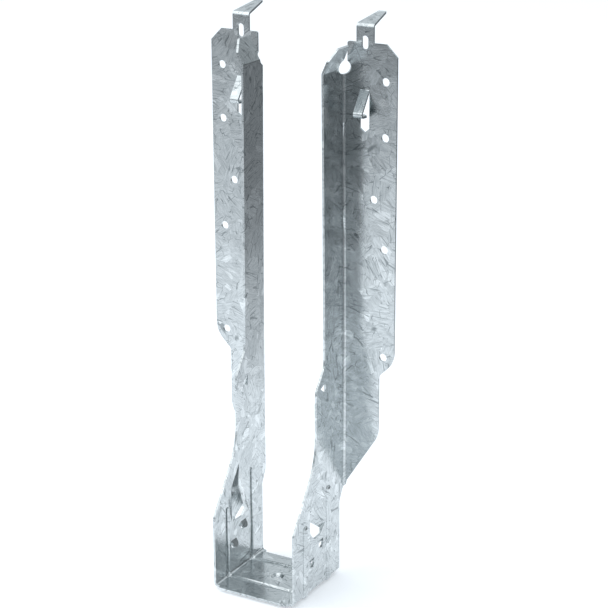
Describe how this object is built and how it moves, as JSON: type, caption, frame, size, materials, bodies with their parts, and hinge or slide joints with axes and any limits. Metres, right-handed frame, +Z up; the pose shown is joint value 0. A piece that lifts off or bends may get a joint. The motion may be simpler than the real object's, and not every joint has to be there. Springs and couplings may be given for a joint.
{
  "type": "joist hanger",
  "caption": "Tall face-mount joist hanger folded from galvanised sheet, with nailing flanges, hook tabs, prongs, guide hoods and a beaded seat.",
  "frame": {"origin": "middle of the joist's lower edge at the header: y = 0 is the header's face, z = 0 is the seat's bearing face", "axes": "+X across the joist, to the right seen from the joist's side; +Y along the joist into the header; +Z up"},
  "size_m": [0.1128, 0.078, 0.3178],
  "materials": {
    "galvanised_sheet": "hot-dip galvanised with visible spangle"
  },
  "bodies": {
    "root": {"joist_hanger": "galvanised_sheet"}
  },
  "joints": []
}
